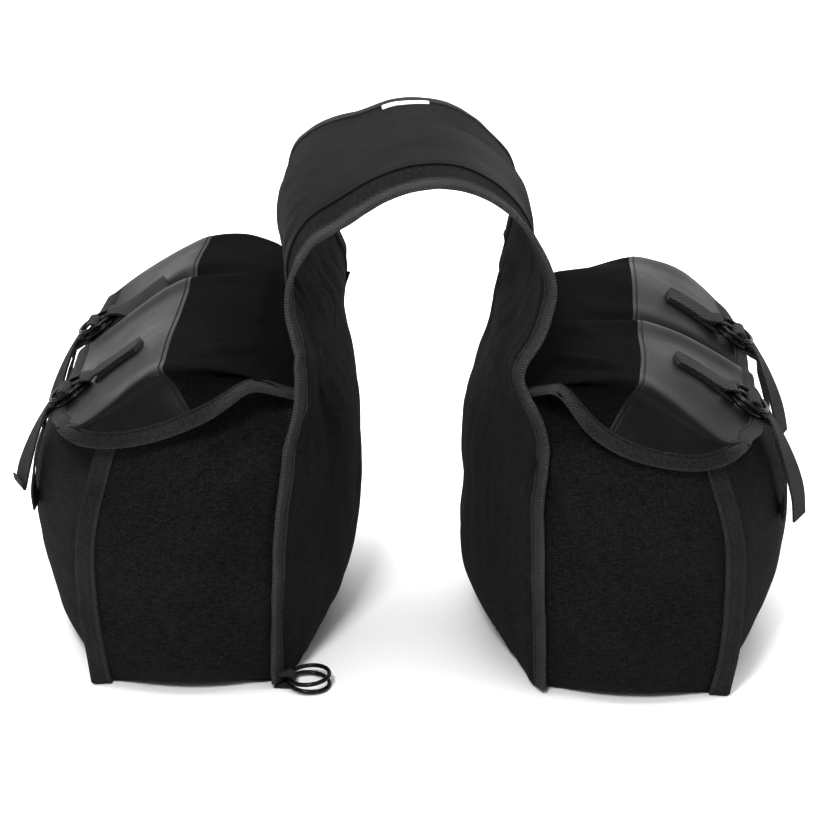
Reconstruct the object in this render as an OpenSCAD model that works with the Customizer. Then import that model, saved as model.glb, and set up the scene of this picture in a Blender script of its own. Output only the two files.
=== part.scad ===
// Throw-over pannier: two stuffed canvas bags joined by a wide canvas bridge.
// Millimetres. X runs across the bicycle, Y along it, Z up. The floor is z = 0.

/* [Bags] */
// Length of each bag along the bicycle, from end to end
bag_length = 340; // [320:2:350]
// Depth of each bag at its ends, from the back seam to the front seam
bag_depth = 148; // [140:2:156]
// Height of the back panel's top edge
bag_height = 283; // [278:1:286]
// Distance from the middle of the pannier to each back seam
bag_offset = 116; // [112:1:124]
// How far the front panel swells outward at its middle
front_swell = 81; // [70:1:90]
// How far the back panel swells inward at its middle
back_swell = 68; // [40:1:70]
// Thickness of the canvas panels
cloth = 4; // [3:0.5:5]

/* [Bridge] */
// Height of the top of the bridge
bridge_height = 446; // [430:1:460]
// Height at which each leg of the bridge starts to curve inward
leg_height = 350; // [330:1:360]
// Half of the bridge's width where its legs start to curve inward
arch_half = 107; // [100:1:115]
// Length of the bridge along the bicycle at its top
bridge_length = 246; // [200:2:280]
// Thickness of the bridge canvas
bridge_cloth = 3; // [2:0.5:4]

/* [Flaps] */
// Thickness of the flap canvas and leather
flap_cloth = 3; // [2:0.5:3]
// Distance from the back seam to the seam between flap canvas and flap leather
leather_start = 86; // [70:2:96]
// Width of the woven tape that binds the edges
tape_width = 13; // [10:1:15]

/* [Closures] */
// Distance of each strap from the middle of the bag
strap_y = 82; // [60:1:100]
// Width of the webbing straps
strap_width = 30; // [25:1:35]
// Thickness of the webbing
webbing = 2; // [1.5:0.5:2]
// Outer diameter of the closure rings
ring_outer = 39.2; // [38:0.2:40]
// Diameter of the wire of the rings
ring_wire = 3.6; // [3:0.2:3.8]
// Angle between the two rings of one closure
ring_spread = 4; // [3.5:0.5:6]
// Angle by which the lower ring of a closure stands off the leather
ring_lift = 1; // [0.5:0.5:2]

/* [Hidden] */
steps = 12;
fine = 64;
end_y = bag_length / 2;
front_x = bag_offset + bag_depth;
leather_x = bag_offset + leather_start;
tape = 3;
gap = 0.4;

// The flap lies in this outline, as outer x and z from the hinge to the outer edge
flap_angle = 36;
loop_x = 274;
loop_z = 244;
flap_hinge = [128, 291];
flap_path = [
    [128, 295], [165, 298], [200, 294], place_on_flap(-66, 0),
    [loop_x, loop_z], place_on_flap(38, 0)
];
flap_end_y = end_y + 9;
// Lower edge of the flap's sides, which hang over the bag's ends
wing_edge = [[128, 284], [163, 261], [205, 236], [254, 216], [286, 216]];

// The closure loop's hollow holds both ring wires, one over the other, and they turn about its centre
ring_radius = (ring_outer - ring_wire) / 2;
wire_offset = 2.05;
loop_hollow = 4.6;
loop_wall = 1.8;
loop_rise = gap + loop_wall + loop_hollow;
loop_width = 14;

// The lash rings hang from a tab at one bottom corner of each back panel
lash_x = 100;
lash_y = 166;
lash_z = 6.9;
lash_tilt = 4;
lash_spread = 9;

// A point on the flap's outer slope: along it from the loop, and out from it
function place_on_flap(along, out) = [
    loop_x + along * cos(flap_angle) + out * sin(flap_angle),
    loop_z - along * sin(flap_angle) + out * cos(flap_angle)
];

// 1 in the middle of a swelling panel and 0 at its seams, for t from -1 to 1
function swell(t) = 1 - pow(abs(t), 2.2);

// The bag from above: straight ends, swollen back and front
function plan_outline(inset) = let (e = end_y - inset) concat(
    [for (i = [0:steps]) let (t = 2 * i / steps - 1)
        [bag_offset - back_swell * swell(t) + inset, e * t]],
    [for (i = [steps:-1:0]) let (t = 2 * i / steps - 1)
        [front_x + front_swell * swell(t) - inset, e * t]]
);

function back_x(z) = bag_offset - back_swell * (1 - pow(abs(z - 125) / (bag_height - 125), 2.6));

function front_x_at(z) = front_x + front_swell
    - (z < 90 ? 40 * pow(1 - z / 90, 2) : 60 * pow((z - 90) / 130, 2));

// The bag from its end: swollen back and front, open sloping top below the flap
function end_outline(inset) = concat(
    [for (i = [0:steps]) let (z = bag_height * i / steps)
        [back_x(z) + inset, i == 0 ? inset : z]],
    [for (i = [1:4]) flap_path[i] - [0, 9]],
    [for (i = [8:-1:0]) let (z = 216 * i / 8)
        [front_x_at(z) - inset, i == 0 ? inset : z]]
);

// One side of a ribbon along a path of x and z points, thick on its left-hand side
function heading(path, i) = let (
    a = path[max(i - 1, 0)],
    b = path[min(i + 1, len(path) - 1)]
) (b - a) / norm(b - a);

function ribbon(path, near_side, far_side) = concat(
    [for (i = [0:len(path) - 1]) let (h = heading(path, i)) path[i] + far_side * [-h[1], h[0]]],
    [for (i = [len(path) - 1:-1:0]) let (h = heading(path, i))
        path[i] + near_side * [-h[1], h[0]]]
);

// The bridge from its end: two legs and a half ellipse
function bridge_path(out) = concat(
    [[-bag_offset + 1 - out, bag_height + 7]],
    [for (a = [180:-15:0])
        [(arch_half + out) * cos(a), leg_height + (bridge_height - leg_height + out) * sin(a)]],
    [[bag_offset - 1 + out, bag_height + 7]]
);

// Half of the bridge's length at a height
function bridge_half(z) = let (t = (z - bag_height) / (bridge_height - bag_height))
    end_y + 12 - (end_y + 12 - bridge_length / 2) * pow(max(min(t, 1), 0), 0.8);

// Upright outline of the bridge from its side, cut back from its edges by a margin
module bridge_side(near_margin, far_margin) {
    heights = [for (i = [0:8]) bag_height + (bridge_height + 20 - bag_height) * i / 8];
    polygon(concat(
        [for (z = heights) [near_margin - bridge_half(z), z]],
        [for (i = [8:-1:0]) [bridge_half(heights[i]) - far_margin, heights[i]]]
    ));
}

// Extrudes an x and z outline along Y, between two y values
module along_y(y0, y1) {
    translate([0, y1, 0])
        rotate([90, 0, 0])
            linear_extrude(y1 - y0)
                children();
}

// Extrudes a y and z outline along X, through the whole pannier
module across_x(reach) {
    translate([-reach, 0, 0])
        rotate([90, 0, 90])
            linear_extrude(2 * reach)
                children();
}

module block(low, high) {
    translate(low)
        cube(high - low);
}

// Turns a piece that is drawn for the right-hand side to its own side
module on_side(side) {
    rotate([0, 0, side > 0 ? 0 : 180])
        children();
}

module bridge_band(low, high, near_margin, far_margin) {
    intersection() {
        along_y(-end_y - 20, end_y + 20)
            difference() {
                polygon(bridge_path(high));
                polygon(bridge_path(low));
            }
        across_x(200)
            bridge_side(near_margin, far_margin);
    }
}

module bridge_canvas() {
    color("#242424")
        bridge_band(0, bridge_cloth, tape_width, tape_width);
}

module bridge_reinforcement() {
    color("#1a1a1a")
        intersection() {
            bridge_band(bridge_cloth, bridge_cloth + 1.6, 26, 62);
            block([-200, -200, leg_height], [200, 200, bridge_height + 20]);
        }
}

module bridge_binding(near) {
    color("#303030")
        intersection() {
            bridge_band(-0.5, bridge_cloth + 0.5, 0, 0);
            difference() {
                across_x(200)
                    bridge_side(near ? 0 : tape_width, near ? tape_width : 0);
                across_x(201)
                    bridge_side(tape_width, tape_width);
            }
        }
}

module blank_label() {
    color("#e8e8e8")
        translate([-18, bridge_length / 2 - 20, bridge_height + bridge_cloth + 0.6])
            cube([40, 14, 1]);
}

module bag_solid(inset) {
    intersection() {
        translate([0, 0, -1])
            linear_extrude(bag_height + 30)
                polygon(plan_outline(inset));
        along_y(-end_y - 10, end_y + 10)
            polygon(end_outline(inset));
    }
}

module bag_shell() {
    difference() {
        bag_solid(0);
        bag_solid(cloth);
        // The mouth is open under the flap
        along_y(-end_y + cloth, end_y - cloth)
            polygon([[bag_offset + cloth, 200], [bag_offset + cloth, 320], [320, 320],
                [front_x + 12, 214]]);
    }
}

module back_panel(side) {
    color("#222222")
        on_side(side)
            intersection() {
                bag_shell();
                block([0, -end_y, cloth], [bag_offset, end_y, bag_height + 1]);
            }
}

module front_panel(side) {
    color("#252525")
        on_side(side)
            intersection() {
                bag_shell();
                block([front_x, -end_y, cloth], [400, end_y, 214]);
            }
}

module gusset(side, end) {
    color("#202020")
        on_side(side)
            intersection() {
                bag_shell();
                block([bag_offset, end * side > 0 ? 0 : -end_y, cloth],
                    [front_x, end * side > 0 ? end_y : 0, 400]);
            }
}

module base_panel(side) {
    color("#1e1e1e")
        on_side(side)
            intersection() {
                bag_solid(0);
                block([0, -end_y, 0], [400, end_y, cloth]);
            }
}

// Folded hem along the top of the front panel
module mouth_hem(side) {
    color("#2c2c2c")
        on_side(side)
            intersection() {
                difference() {
                    bag_solid(cloth);
                    bag_solid(cloth + 2);
                }
                block([front_x, -end_y, 194], [400, end_y, 214]);
            }
}

// Seam allowance that joins the flap to the top of the back panel
module flap_seam(side) {
    color("#2a2a2a")
        on_side(side)
            block([bag_offset + cloth, -end_y + cloth, bag_height - 3],
                [bag_offset + 10, end_y - cloth, bag_height + 1.5]);
}

module back_binding(side, end) {
    y = end * side > 0 ? end_y : -end_y - tape_width;
    color("#303030")
        on_side(side)
            block([bag_offset - 1, y, cloth], [bag_offset - 1 + tape, y + tape_width, bag_height]);
}

module front_binding(side, end) {
    y = end * side > 0 ? end_y : -end_y - tape_width;
    color("#303030")
        on_side(side)
            block([front_x - tape / 2, y, cloth],
                [front_x + tape / 2, y + tape_width, 206]);
}

// The flap's outline from its end, with the sides that hang over the bag's ends
module flap_wing() {
    polygon(concat(flap_path, [for (i = [len(wing_edge) - 1:-1:0]) wing_edge[i]]));
}

module flap_body(y_trim) {
    difference() {
        along_y(-flap_end_y + y_trim, flap_end_y - y_trim)
            flap_wing();
        along_y(-flap_end_y + flap_cloth, flap_end_y - flap_cloth)
            polygon(concat(
                [for (p = flap_path) p - [0, flap_cloth + 0.5]],
                [[304, 100], [flap_hinge[0] - 1, 100], [flap_hinge[0] - 1, 291]]
            ));
    }
}

// Tape that binds the flap's lower edges
module flap_edge() {
    block([294, -200, 0], [400, 200, 400]);
    difference() {
        along_y(-200, 200)
            polygon(concat(wing_edge, [for (i = [len(wing_edge) - 1:-1:0])
                wing_edge[i] + [2, tape_width]]));
        block([0, -flap_end_y + flap_cloth, 0], [400, flap_end_y - flap_cloth, 400]);
    }
}

module flap_canvas(side) {
    color("#242424")
        on_side(side)
            difference() {
                intersection() {
                    flap_body(0);
                    block([0, -200, 0], [leather_x, 200, 400]);
                }
                flap_edge();
            }
}

module flap_leather(side) {
    color("#141414")
        on_side(side)
            difference() {
                intersection() {
                    flap_body(0);
                    block([leather_x, -200, 0], [400, 200, 400]);
                }
                flap_edge();
            }
}

module flap_binding(side) {
    color("#303030")
        on_side(side)
            intersection() {
                flap_body(0);
                flap_edge();
            }
}

// Webbing tab sewn on the flap, with a loop round the ring wires
module ring_tab(side, end) {
    y = end * side * strap_y;
    color("#343434")
        on_side(side)
            difference() {
                union() {
                    along_y(y - strap_width / 2, y + strap_width / 2)
                        polygon([
                            place_on_flap(-64, gap), place_on_flap(-12, gap),
                            place_on_flap(-12, gap + 2 * webbing),
                            place_on_flap(-64, gap + 2 * webbing)
                        ]);
                    along_y(y - loop_width / 2, y + loop_width / 2)
                        polygon([
                            place_on_flap(-12, gap), place_on_flap(0, gap),
                            place_on_flap(-2, loop_rise),
                            place_on_flap(-12, gap + 2 * webbing)
                        ]);
                    along_y(y - loop_width / 2, y + loop_width / 2)
                        translate(place_on_flap(0, loop_rise))
                            circle(loop_hollow + loop_wall, $fn = fine);
                }
                along_y(y - strap_width, y + strap_width)
                    translate(place_on_flap(0, loop_rise))
                        circle(loop_hollow, $fn = fine);
            }
}

// Strap from the bag's front, through both rings and back down as a free tail
strap_start = [[336, 128], [336, 148], [331, 174], [321.5, 203], place_on_flap(42, 1.9)];
strap_turn = [
    place_on_flap(42, 1.9), place_on_flap(35.6, 1.9), place_on_flap(30.4, 2.6),
    place_on_flap(28.2, 5.3), place_on_flap(30.4, 8), place_on_flap(35.6, 8.7),
    place_on_flap(42, 7)
];
strap_tail = [place_on_flap(42, 7), [327.5, 203], [336, 172], [341, 146], [341.5, 132]];

module strap(side, end) {
    y = end * side * strap_y;
    half = webbing / 2;
    color("#383838")
        on_side(side) {
            along_y(y - strap_width / 2, y + strap_width / 2)
                polygon(ribbon(strap_start, -half, half));
            along_y(y - loop_width / 2, y + loop_width / 2)
                polygon(ribbon(strap_turn, -half, half));
            along_y(y - strap_width / 2, y + strap_width / 2)
                polygon(ribbon(strap_tail, -half, half));
        }
}

// A wire ring that lies along +X from the point where it passes through a loop
module ring() {
    translate([ring_radius, 0, 0])
        rotate_extrude($fn = fine)
            translate([ring_radius, 0])
                circle(ring_wire / 2, $fn = 24);
}

module closure_ring(side, end, upper) {
    pivot = place_on_flap(0, loop_rise);
    color("#0a0a0a")
        on_side(side)
            translate([pivot[0], end * side * strap_y, pivot[1]])
                rotate([0, flap_angle, 0])
                    translate([0, 0, upper ? wire_offset : -wire_offset])
                        rotate([0, -ring_lift - (upper ? ring_spread : 0), 0])
                            ring();
}

// Webbing tab at a bottom corner of the back panel
module lash_tab(side) {
    color("#343434")
        on_side(side)
            difference() {
                along_y(lash_y - loop_width / 2, lash_y + loop_width / 2)
                    union() {
                        translate([lash_x, lash_z])
                            circle(loop_hollow + loop_wall, $fn = fine);
                        translate([lash_x, lash_z])
                            square([12, 7]);
                    }
                along_y(lash_y - strap_width, lash_y + strap_width)
                    translate([lash_x, lash_z])
                        circle(loop_hollow, $fn = fine);
                bag_solid(0);
            }
}

module lash_ring(side, upper) {
    color("#0a0a0a")
        on_side(side)
            translate([lash_x, lash_y, lash_z])
                rotate([0, 0, 180])
                    translate([0, 0, upper ? wire_offset : -wire_offset])
                        rotate([0, lash_tilt - (upper ? lash_spread : 0), 0])
                            ring();
}

bridge_canvas();
bridge_reinforcement();
bridge_binding(true);  // bridge_binding_near
bridge_binding(false);  // bridge_binding_far
blank_label();
back_panel(-1);  // back_panel_left
front_panel(-1);  // front_panel_left
gusset(-1, -1);  // gusset_near_left
gusset(-1, 1);  // gusset_far_left
base_panel(-1);  // base_panel_left
mouth_hem(-1);  // mouth_hem_left
flap_seam(-1);  // flap_seam_left
back_binding(-1, -1);  // back_binding_near_left
back_binding(-1, 1);  // back_binding_far_left
front_binding(-1, -1);  // front_binding_near_left
front_binding(-1, 1);  // front_binding_far_left
flap_canvas(-1);  // flap_canvas_left
flap_leather(-1);  // flap_leather_left
flap_binding(-1);  // flap_binding_left
ring_tab(-1, -1);  // ring_tab_near_left
ring_tab(-1, 1);  // ring_tab_far_left
strap(-1, -1);  // strap_near_left
strap(-1, 1);  // strap_far_left
closure_ring(-1, -1, false);  // lower_ring_near_left
closure_ring(-1, -1, true);  // upper_ring_near_left
closure_ring(-1, 1, false);  // lower_ring_far_left
closure_ring(-1, 1, true);  // upper_ring_far_left
lash_tab(-1);  // lash_tab_left
lash_ring(-1, false);  // lower_lash_ring_left
lash_ring(-1, true);  // upper_lash_ring_left
back_panel(1);  // back_panel_right
front_panel(1);  // front_panel_right
gusset(1, -1);  // gusset_near_right
gusset(1, 1);  // gusset_far_right
base_panel(1);  // base_panel_right
mouth_hem(1);  // mouth_hem_right
flap_seam(1);  // flap_seam_right
back_binding(1, -1);  // back_binding_near_right
back_binding(1, 1);  // back_binding_far_right
front_binding(1, -1);  // front_binding_near_right
front_binding(1, 1);  // front_binding_far_right
flap_canvas(1);  // flap_canvas_right
flap_leather(1);  // flap_leather_right
flap_binding(1);  // flap_binding_right
ring_tab(1, -1);  // ring_tab_near_right
ring_tab(1, 1);  // ring_tab_far_right
strap(1, -1);  // strap_near_right
strap(1, 1);  // strap_far_right
closure_ring(1, -1, false);  // lower_ring_near_right
closure_ring(1, -1, true);  // upper_ring_near_right
closure_ring(1, 1, false);  // lower_ring_far_right
closure_ring(1, 1, true);  // upper_ring_far_right
lash_tab(1);  // lash_tab_right
lash_ring(1, false);  // lower_lash_ring_right
lash_ring(1, true);  // upper_lash_ring_right
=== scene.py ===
"""Throw-over canvas pannier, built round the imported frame.

Metres. X runs across the bicycle, Y along it and Z up. Each bag is drawn for the right-hand
side, in centimetres, and turned half a turn about Z for the left.
"""

import functools
import itertools
import math

import bmesh
import bpy
import numpy as np
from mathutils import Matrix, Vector
from mathutils.bvhtree import BVHTree


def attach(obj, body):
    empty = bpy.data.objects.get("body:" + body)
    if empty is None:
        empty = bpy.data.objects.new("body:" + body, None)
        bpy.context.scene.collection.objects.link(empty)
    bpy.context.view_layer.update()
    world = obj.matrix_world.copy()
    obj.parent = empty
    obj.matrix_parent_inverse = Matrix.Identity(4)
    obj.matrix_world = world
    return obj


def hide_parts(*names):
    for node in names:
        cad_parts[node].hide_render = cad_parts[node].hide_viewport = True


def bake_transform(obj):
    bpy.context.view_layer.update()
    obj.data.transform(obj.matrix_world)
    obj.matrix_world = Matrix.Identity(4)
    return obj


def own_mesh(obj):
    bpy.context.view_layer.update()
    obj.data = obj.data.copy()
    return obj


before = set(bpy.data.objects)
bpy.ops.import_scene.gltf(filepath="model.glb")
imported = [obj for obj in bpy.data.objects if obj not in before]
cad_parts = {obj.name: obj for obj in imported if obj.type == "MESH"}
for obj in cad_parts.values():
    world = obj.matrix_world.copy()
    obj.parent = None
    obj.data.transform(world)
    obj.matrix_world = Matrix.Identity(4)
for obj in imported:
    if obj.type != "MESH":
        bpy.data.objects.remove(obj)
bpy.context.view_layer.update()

CM = 0.01
MM = 0.001
SIDES = {"left": -1, "right": 1}
ENDS = {"near": -1, "far": 1}
FINE = 2

# Edges of the throw from its top down each leg, as x, y and z. The end at -Y comes first, and
# the left leg's edges are drawn as the right leg's, before their half turn.
EDGES = {
    "right": {
        -1: [
            (1.7, -12.3, 44.0), (5.0, -12.4, 43.9), (8.2, -12.9, 42.5), (10.7, -13.6, 40.2),
            (12.2, -14.4, 37.3), (12.3, -15.1, 35.0), (11.4, -16.0, 32.3), (9.9, -16.9, 29.8),
            (10.3, -17.4, 28.0), (11.6, -17.6, 25.2), (12.1, -17.6, 22.0), (11.7, -17.6, 16.5),
            (11.9, -17.6, 8.0), (12.2, -17.4, 0.5),
        ],
        1: [
            (-1.7, 12.3, 44.5), (1.9, 12.3, 44.4), (5.0, 12.6, 42.8), (8.0, 13.0, 39.8),
            (9.1, 13.9, 36.8), (9.0, 14.8, 34.0), (8.5, 15.8, 31.5), (8.3, 16.7, 29.0),
            (8.7, 17.2, 27.2), (9.4, 17.6, 24.6), (9.8, 17.6, 21.8), (10.6, 17.6, 16.5),
            (11.1, 17.6, 8.0), (11.2, 17.4, 0.5),
        ],
    },
    "left": {
        -1: [
            (1.7, -12.3, 44.5), (5.0, -12.4, 43.3), (8.6, -12.9, 42.1), (11.0, -13.6, 39.9),
            (11.5, -14.4, 37.0), (10.4, -15.1, 34.6), (8.5, -15.8, 32.2), (7.2, -16.6, 29.8),
            (7.0, -17.1, 28.0), (7.9, -17.5, 25.0), (8.8, -17.6, 22.0), (9.9, -17.6, 16.5),
            (11.0, -17.6, 8.0), (11.2, -17.4, 0.5),
        ],
        1: [
            (-1.7, 12.3, 43.8), (1.9, 12.3, 42.8), (5.0, 12.6, 40.7), (7.8, 13.0, 38.9),
            (9.5, 13.9, 36.2), (9.7, 14.8, 33.8), (9.2, 15.8, 31.5), (8.8, 16.7, 29.0),
            (8.9, 17.2, 27.2), (9.4, 17.6, 24.6), (9.8, 17.6, 21.8), (10.6, 17.6, 16.5),
            (11.1, 17.6, 8.0), (11.2, 17.4, 0.5),
        ],
    },
}
LAST = len(EDGES["right"][1]) - 1
# How far each edge curls outward, at the same places
CURL = {
    "right": {-1: [0, 0, 0.2, 0.5, 0.8, 0.9, 0.9, 1.0, 1.1, 1.1, 1.1, 1.1, 1.1, 1.0],
              1: [0, 0, 0, 0, 0, 0, 0, 0.3, 0.8, 1.0, 1.1, 1.1, 1.1, 1.0]},
    "left": {-1: [0, 0, 0, 0, 0, 0, 0, 0, 0.2, 0.6, 1.0, 1.1, 1.1, 1.0],
             1: [0, 0, 0, 0.2, 0.4, 0.5, 0.6, 0.8, 1.0, 1.1, 1.1, 1.1, 1.1, 1.0]},
}
CURL_WIDTH = 1.5
# The bridge is highest a little way in from its near edge, and falls to its far edge
CROWN = 0.95
CROWN_REACH = 4.5
TOP_SPLIT = 5
BAND_END = 6.4
SEAM_Y = 16.3
# How far each side panel swells inward at height z, and how far its leg bows outward above
SWELL = {
    "right": [(0, 1.2), (1, 3.2), (4, 5.3), (8, 5.8), (13, 5.3), (18, 5.2), (22, 4.2),
              (26, 1.9), (28, 0.8), (30.5, 0.1), (34, 0), (48, 0)],
    "left": [(0, 1.0), (1, 2.4), (4, 4.0), (8, 4.8), (13, 4.8), (18, 4.2), (22, 2.9),
             (25, 1.1), (27, 0.2), (30, 0), (34, 0), (48, 0)],
}
LEG_BOW = {"right": 0.1, "left": 1.25}
BOW_Z = 38.5
BOW_HEIGHT = 5

# The bag's front seams and swollen front, as x at heights z
FRONT_SEAM = {
    -1: [(0, 26.7), (3.7, 27.3), (7.6, 27.6), (13.3, 27.5), (17, 26.9), (21.7, 25.4), (24, 24.4)],
    1: [(0, 25.7), (3.6, 26.1), (7.5, 26.5), (12.2, 26.6), (16, 26.1), (22, 24.5), (24, 23.7)],
}
FRONT_PROFILE = [(0, 30.2), (4, 32.3), (8, 33.4), (13, 33.8), (17, 33.1), (20, 31.5), (22.6, 29.3)]
FRONT_SEAM_Y = 17.0
FRONT_TOP = 22.2
GUSSET_ROWS_TOP = 26.0
# The gusset's top edge as a height at x, which runs between these from seam to seam
GUSSET_X = (10.5, 24.0)
GUSSET_TOP = [(9, 26.6), (12, 26.9), (16, 27.4), (20, 26.6), (24, 24.2), (28, 21.8)]
# Height and depth of the rounding that lifts each bag's lower edges off the ground
BOTTOM_RISE = {"left": 2.6, "right": 2.2}
BOTTOM_DEPTH = {"left": 3.8, "right": 3.2}
# Share of that depth left at the back seams and at the front seams
AT_BACK_SEAM, AT_FRONT_SEAM = 0.25, 0.2
# How far the gusset swells outward, and how deep it is tucked in under the flap
BELLY = 2.2
TUCK = 2.3
# How far the tape stands out along a front seam, and the height at which it ends
FLANGE = 1.45
FLANGE_TOP = 23.6

# The flap from its hinge to its outer edge: its middle line as x and z, then the crests where
# its sides turn down, and its side edges. The end at -Y comes first, as for the throw.
FLAP_LINE = {
    "right": [(12.0, 28.3), (13.6, 28.8), (16.5, 29.0), (19.8, 28.6), (22.3, 27.6),
              (24.8, 26.2), (27.4, 24.4), (30.4, 22.3)],
    "left": [(12.0, 28.6), (13.6, 29.3), (16.5, 29.75), (20.0, 29.35), (22.2, 28.35),
             (24.8, 26.5), (27.4, 24.6), (30.4, 22.4)],
}
CREST = {
    "right": {
        -1: [(12.0, -16.0, 28.0), (13.6, -16.3, 28.6), (16.3, -16.7, 29.1), (19.4, -17.0, 28.9),
             (21.8, -17.2, 27.5), (24.3, -17.5, 25.7), (26.7, -17.5, 24.1), (29.0, -15.3, 23.4)],
        1: [(12.0, 16.0, 25.7), (13.6, 16.3, 26.1), (16.3, 16.7, 27.0), (19.9, 17.0, 28.0),
            (22.4, 17.2, 27.6), (24.8, 17.4, 26.6), (27.0, 17.2, 24.9), (29.2, 15.3, 23.2)],
    },
    "left": {
        -1: [(12.0, -16.0, 28.6), (13.6, -16.3, 29.3), (16.3, -16.7, 29.9), (19.4, -17.0, 29.6),
             (21.8, -17.2, 28.5), (24.3, -17.4, 27.0), (26.8, -17.0, 25.4), (29.3, -15.3, 23.8)],
        1: [(12.0, 16.0, 28.3), (13.6, 16.3, 29.0), (16.3, 16.7, 29.6), (19.9, 17.0, 29.5),
            (22.2, 17.2, 28.2), (24.5, 17.5, 26.3), (26.9, 17.5, 24.7), (29.2, 15.3, 23.8)],
    },
}
FLAP_SIDE = {
    "right": {
        -1: [(12.1, -17.2, 28.2), (13.2, -18.2, 28.0), (15.4, -18.5, 25.0), (18.4, -18.6, 23.1),
             (21.5, -18.6, 22.2), (24.6, -18.5, 21.9), (27.2, -18.2, 22.6), (28.8, -16.8, 23.6)],
        1: [(12.2, 17.2, 25.5), (13.6, 18.2, 25.3), (16.0, 18.5, 24.8), (18.8, 18.6, 23.8),
            (21.5, 18.6, 23.0), (24.6, 18.5, 22.5), (27.4, 18.2, 22.6), (29.0, 16.8, 23.0)],
    },
    "left": {
        -1: [(12.1, -17.2, 28.2), (13.2, -18.2, 27.9), (15.6, -18.5, 26.2), (18.6, -18.6, 24.4),
             (21.5, -18.6, 23.2), (24.6, -18.5, 22.6), (27.2, -18.2, 22.8), (28.9, -16.8, 23.5)],
        1: [(12.2, 17.2, 28.0), (13.6, 18.2, 27.5), (16.0, 18.5, 25.8), (18.8, 18.6, 24.5),
            (21.5, 18.6, 23.6), (24.6, 18.5, 23.1), (27.4, 18.2, 23.4), (29.0, 16.8, 24.2)],
    },
}
# How deep the flap's side falls in below its crest, row by row
HOLLOW_DEPTH = [0.6, 1.5, 1.1, 0.1, 0.0, 0.0, 0.0, 0.0]
HOLLOW_SHARES = (0, 0.35, 1.0)
# Distances from the middle line of the net's inner columns, and the net's last column
FLAP_ACROSS = (14.4, 11.0, 6.0, 0.0)
FLAP_COLUMNS = 14
# Rows of the net before the flap's own, and the row of the seam between canvas and leather
ROWS_BEFORE = 1
LEATHER_ROW = 3.0
LEATHER_ROW_AT_EDGE = 2.4
# The dip between the flap's two lobes, which crosses the leather at a slant
LOBE_DIP = {"left": 0.75, "right": 0.9}
LOBE_START = {"left": (-6.2, 0.05), "right": (-1.3, 0.33)}
# Which of its two lobes, at +Y or -Y as drawn, has the sharper shoulder
LOBE_SHARP = {"left": -1, "right": 1}

TAPE = 13 * MM
CLOTH = 1.6 * MM
HIDE = 1.8 * MM
SEED = {"left": 11, "right": 23}


def catmull(f):
    """The four weights of a smooth curve between its second and third point."""
    return 0.5 * np.stack([
        -f + 2 * f**2 - f**3, 2 - 5 * f**2 + 3 * f**3, f + 4 * f**2 - 3 * f**3, -(f**2) + f**3,
    ], -1)


def padded(points):
    """The points with one more at each end, in line with the last two."""
    p = np.asarray(points, float)
    return np.concatenate([[2 * p[0] - p[1]], p, [2 * p[-1] - p[-2]]])


def curve(points):
    """A smooth curve through the points, as a function of a place from 0 to the last's number."""
    p = padded(points)

    def at(t):
        t = np.asarray(t, float)
        i = np.clip(np.floor(t).astype(int), 0, len(p) - 4)
        w = catmull(t - i)
        return sum(w[..., k, None] * p[i + k] for k in range(4))

    return at


def graph(points):
    """A smooth function through (place, value) pairs."""
    xy = curve(points)(np.linspace(0, len(points) - 1, 60 * len(points)))
    return lambda x: np.interp(x, xy[:, 0], xy[:, 1])


def net_surface(net):
    """A smooth surface through a net of points, as a function of its row and column."""
    p = padded(np.swapaxes(padded(net), 0, 1))
    p = np.swapaxes(p, 0, 1)

    def at(r, c):
        r, c = np.broadcast_arrays(np.asarray(r, float), np.asarray(c, float))
        i = np.clip(np.floor(r).astype(int), 0, p.shape[0] - 4)
        j = np.clip(np.floor(c).astype(int), 0, p.shape[1] - 4)
        wr, wc = catmull(r - i), catmull(c - j)
        return sum(
            (wr[..., a] * wc[..., b])[..., None] * p[i + a, j + b]
            for a in range(4) for b in range(4)
        )

    return at


def smooth(x, low, high):
    t = np.clip((np.asarray(x, float) - low) / (high - low), 0, 1)
    return t * t * (3 - 2 * t)


def hump(x, middle, width):
    return np.exp(-(((np.asarray(x, float) - middle) / width) ** 2))


LATTICE = 32


def noise(points, size, seed):
    """Smooth noise, about -1 to 1, with features of that size. Size may differ along x, y, z."""
    table = np.random.default_rng(seed).uniform(-1, 1, (LATTICE,) * 3)
    p = np.asarray(points, float) / np.asarray(size, float)
    cell = np.floor(p).astype(int)
    f = p - cell
    f = f * f * (3 - 2 * f)
    total = np.zeros(p.shape[:-1])
    for corner in itertools.product((0, 1), repeat=3):
        at = (cell + corner) % LATTICE
        weight = np.prod(np.where(np.array(corner) > 0, f, 1 - f), axis=-1)
        total += weight * table[at[..., 0], at[..., 1], at[..., 2]]
    return total


def unit(v):
    return v / np.maximum(np.linalg.norm(v, axis=-1, keepdims=True), 1e-12)


def facing(surface, u, v, step=0.02):
    """The direction square to the surface at each place."""
    along = surface(u + step, v) - surface(u - step, v)
    across = surface(u, v + step) - surface(u, v - step)
    return unit(np.cross(along, across))


def displaced(surface, amount):
    """The surface pushed out by amount, which is a function of the points on it."""
    def at(u, v):
        u, v = np.broadcast_arrays(np.asarray(u, float), np.asarray(v, float))
        p = surface(u, v)
        return p + facing(surface, u, v) * amount(p)[..., None]

    return at


def turn_of(side):
    """Turns points drawn for the right-hand bag to their own side, when multiplied by it."""
    return np.array([SIDES[side], SIDES[side], 1])


def run_of(path):
    """How far each point of a path is from its start."""
    return np.concatenate([[0], np.cumsum(np.linalg.norm(np.diff(path, axis=0), axis=1))])


def read_along(values, far, places):
    """Values given at the distances in far, read at other places between them."""
    return np.stack([np.interp(places, far, values[:, k]) for k in range(3)], -1)


# ---------------------------------------------------------------- meshes


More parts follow.
